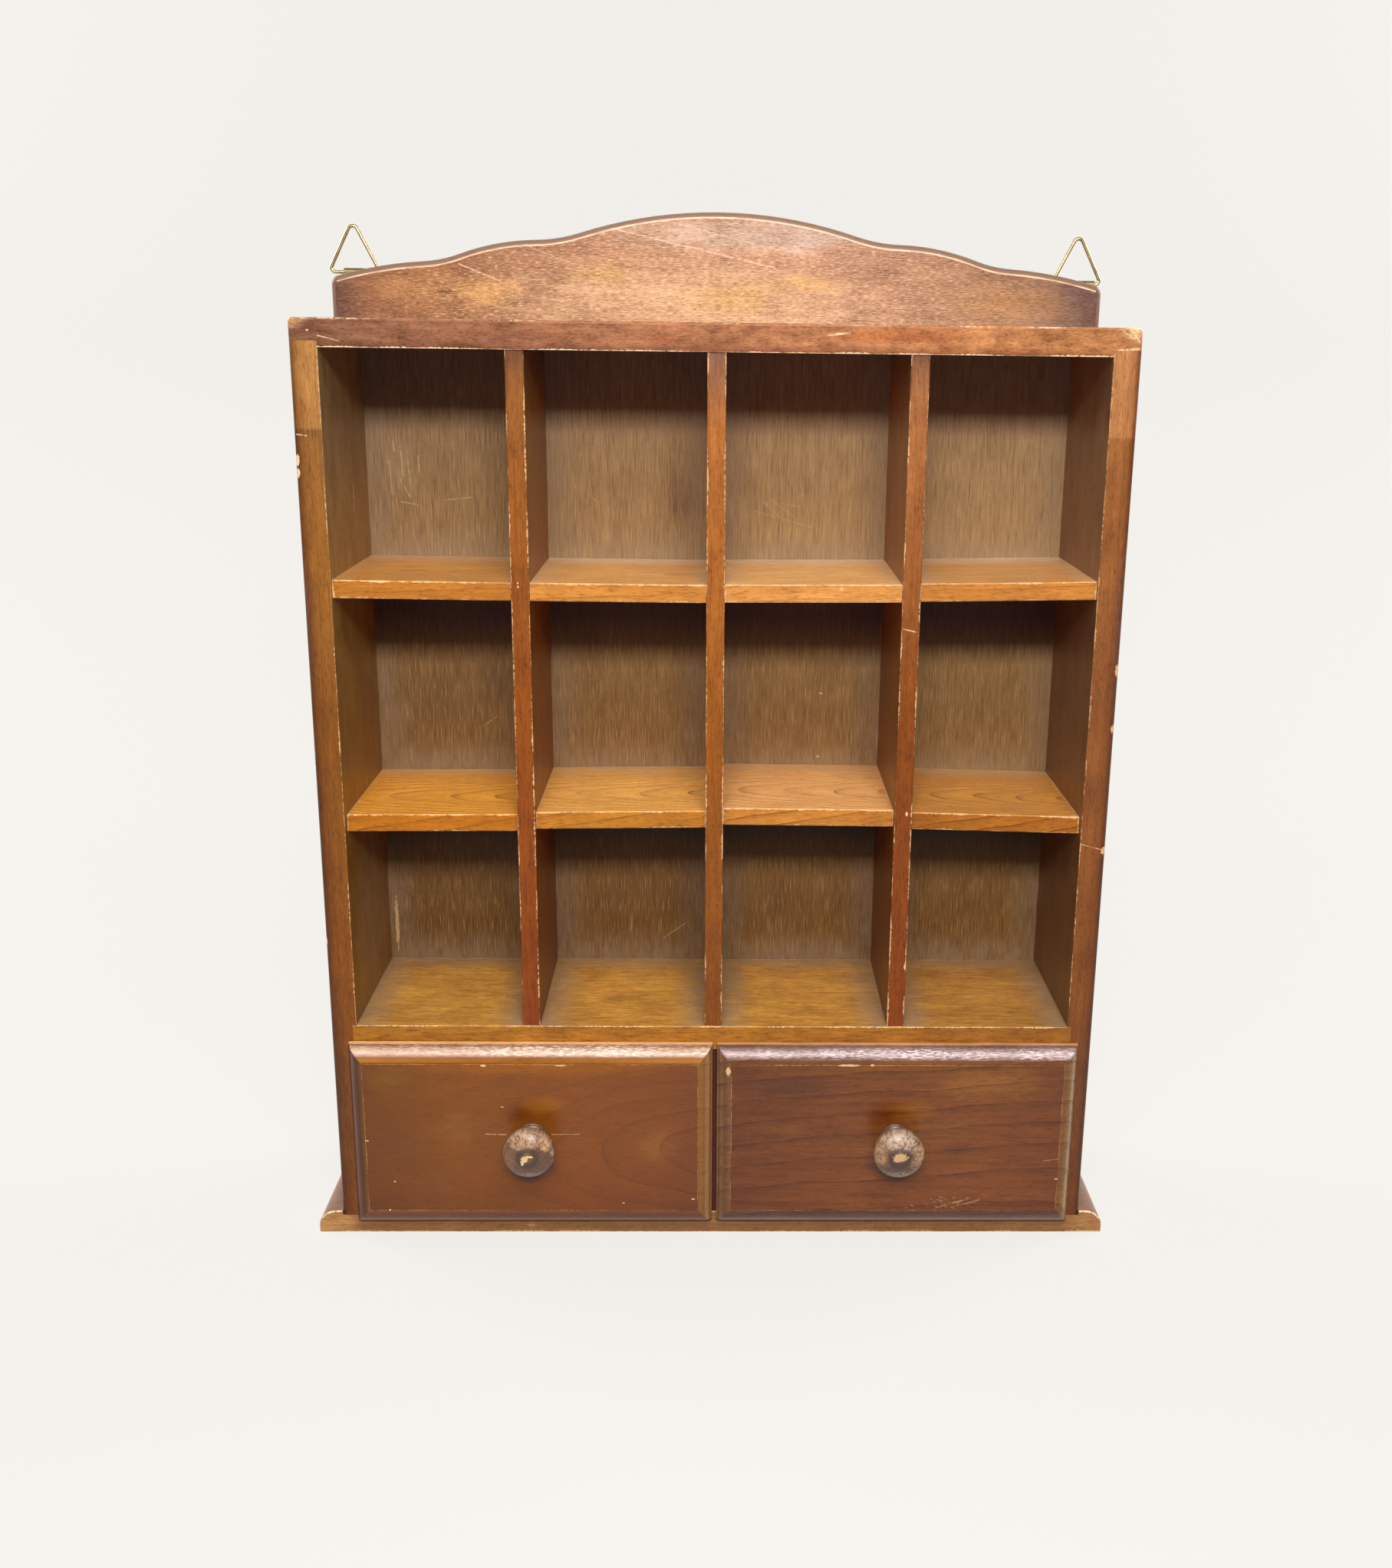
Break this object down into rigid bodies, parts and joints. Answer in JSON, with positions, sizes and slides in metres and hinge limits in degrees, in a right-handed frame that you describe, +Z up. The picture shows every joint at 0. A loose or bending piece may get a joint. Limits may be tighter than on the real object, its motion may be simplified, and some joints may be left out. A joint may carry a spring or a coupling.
{
  "type": "trinket shelf with drawers",
  "caption": "Shallow wooden trinket shelf with open cubbies, an arched crest, two lipped drawers with turned knobs and wire hangers.",
  "frame": {"origin": "middle of the base board's flat underside, on the table", "axes": "+X to the right seen from the front, +Y from the front to the back, +Z up"},
  "size_m": [0.3192, 0.1025, 0.3981],
  "materials": {
    "stained_wood": "satin",
    "drawer_front_left": "satin",
    "drawer_front_right": "satin",
    "drawer_box_wood": "matt",
    "plywood": "matt",
    "knob_wood": "gloss",
    "zinc_steel": "satin",
    "brass": "satin"
  },
  "bodies": {
    "cabinet": {"side_left": "stained_wood", "side_right": "stained_wood", "top_board": "stained_wood", "base_board": "stained_wood", "deck_board": "stained_wood", "divider_1": "stained_wood", "divider_2": "stained_wood", "divider_3": "stained_wood", "shelf_r1_c1": "stained_wood", "shelf_r1_c2": "stained_wood", "shelf_r1_c3": "stained_wood", "shelf_r1_c4": "stained_wood", "shelf_r2_c1": "stained_wood", "shelf_r2_c2": "stained_wood", "shelf_r2_c3": "stained_wood", "shelf_r2_c4": "stained_wood", "back_panel": "plywood", "drawer_partition": "stained_wood", "crest_board": "stained_wood", "hanger_plate_left": "brass", "hanger_plate_right": "brass", "hanger_nails": "brass"},
    "drawer_left": {"drawer_left_front": "drawer_front_left", "drawer_left_side_left": "drawer_box_wood", "drawer_left_side_right": "drawer_box_wood", "drawer_left_back": "drawer_box_wood", "drawer_left_bottom": "plywood", "drawer_left_knob": "knob_wood", "drawer_left_knob_screw": "zinc_steel"},
    "drawer_right": {"drawer_right_front": "drawer_front_right", "drawer_right_side_left": "drawer_box_wood", "drawer_right_side_right": "drawer_box_wood", "drawer_right_back": "drawer_box_wood", "drawer_right_bottom": "plywood", "drawer_right_knob": "knob_wood", "drawer_right_knob_screw": "zinc_steel"},
    "ring_left": {"hanger_ring_left": "brass"},
    "ring_right": {"hanger_ring_right": "brass"}
  },
  "joints": [
    {"name": "drawer_left_slide", "type": "slide", "parent": "cabinet", "child": "drawer_left", "axis": [0, -1, 0], "range_m": [0, 0.055]},
    {"name": "drawer_right_slide", "type": "slide", "parent": "cabinet", "child": "drawer_right", "axis": [0, -1, 0], "range_m": [0, 0.055]},
    {"name": "hanger_left_swing", "type": "hinge", "parent": "cabinet", "child": "ring_left", "pos_m": [-0.1417, 0.0393, 0.3746], "axis": [-1, 0, 0], "range_deg": [-18, 165]},
    {"name": "hanger_right_swing", "type": "hinge", "parent": "cabinet", "child": "ring_right", "pos_m": [0.1409, 0.0393, 0.3736], "axis": [-1, 0, 0], "range_deg": [-12, 165]}
  ]
}
